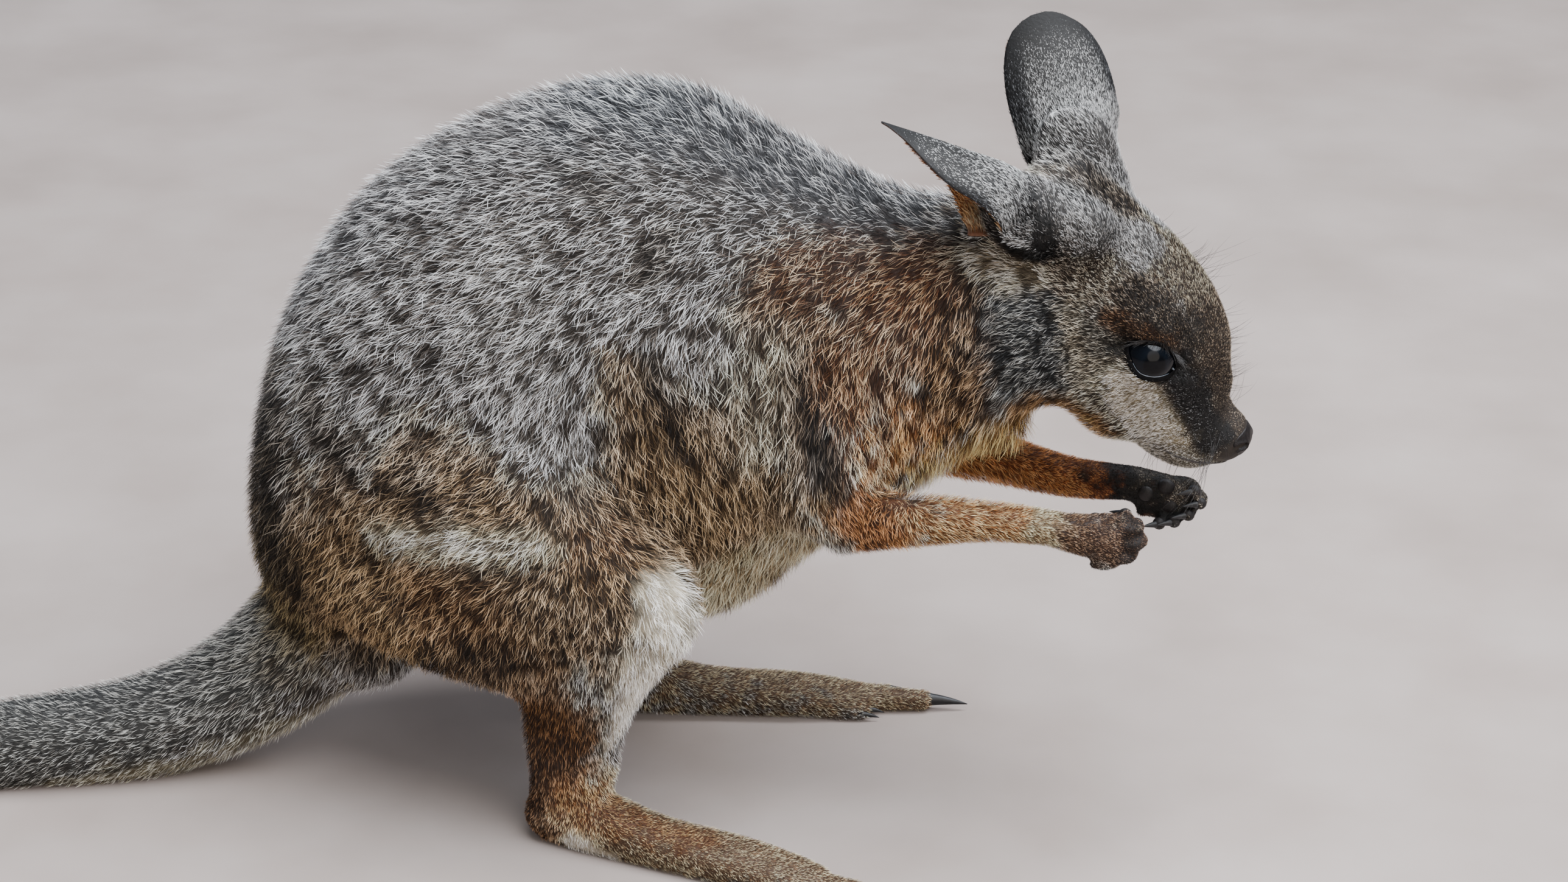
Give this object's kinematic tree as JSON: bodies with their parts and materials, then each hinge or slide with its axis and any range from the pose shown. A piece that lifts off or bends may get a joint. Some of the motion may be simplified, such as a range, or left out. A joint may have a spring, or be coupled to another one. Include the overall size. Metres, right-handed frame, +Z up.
{
  "type": "tammar wallaby model",
  "caption": "Life-size still model of a small grey wallaby crouched on its hind feet and tail, forearms raised, head lowered and ears turned, for museum display.",
  "frame": {"origin": "centre of the model's bounding box at the ground it stands on", "axes": "+X forward, towards the nose and along the model's length; +Y to the animal's left; +Z up"},
  "size_m": [0.6636, 0.195, 0.331],
  "materials": {
    "fur": "grizzled grey-brown fur, rufous on the shoulders and limbs, cream below",
    "nose_skin": "fine-grained moist black skin",
    "eye": "wet glossy dark brown-black eye",
    "claw": "smooth blackish horn"
  },
  "bodies": {
    "root": {"head": "fur", "neck": "fur", "chest": "fur", "loin": "fur", "rump": "fur", "tail_base": "fur", "tail_middle": "fur", "tail_tip": "fur", "upper_arm_right": "fur", "forearm_right": "fur", "hand_right": "fur", "thigh_right": "fur", "shank_right": "fur", "foot_right": "fur", "ear_right": "fur", "upper_arm_left": "fur", "forearm_left": "fur", "hand_left": "fur", "thigh_left": "fur", "shank_left": "fur", "foot_left": "fur", "ear_left": "fur", "nose": "nose_skin", "eye_right": "eye", "eye_left": "eye", "claw_hand_first_right": "claw", "claw_hand_second_right": "claw", "claw_hand_third_right": "claw", "claw_hand_fourth_right": "claw", "claw_hand_fifth_right": "claw", "claw_hand_first_left": "claw", "claw_hand_second_left": "claw", "claw_hand_third_left": "claw", "claw_hand_fourth_left": "claw", "claw_hand_fifth_left": "claw", "claw_foot_second_right": "claw", "claw_foot_third_right": "claw", "claw_foot_fourth_right": "claw", "claw_foot_fifth_right": "claw", "claw_foot_second_left": "claw", "claw_foot_third_left": "claw", "claw_foot_fourth_left": "claw", "claw_foot_fifth_left": "claw"}
  },
  "joints": []
}
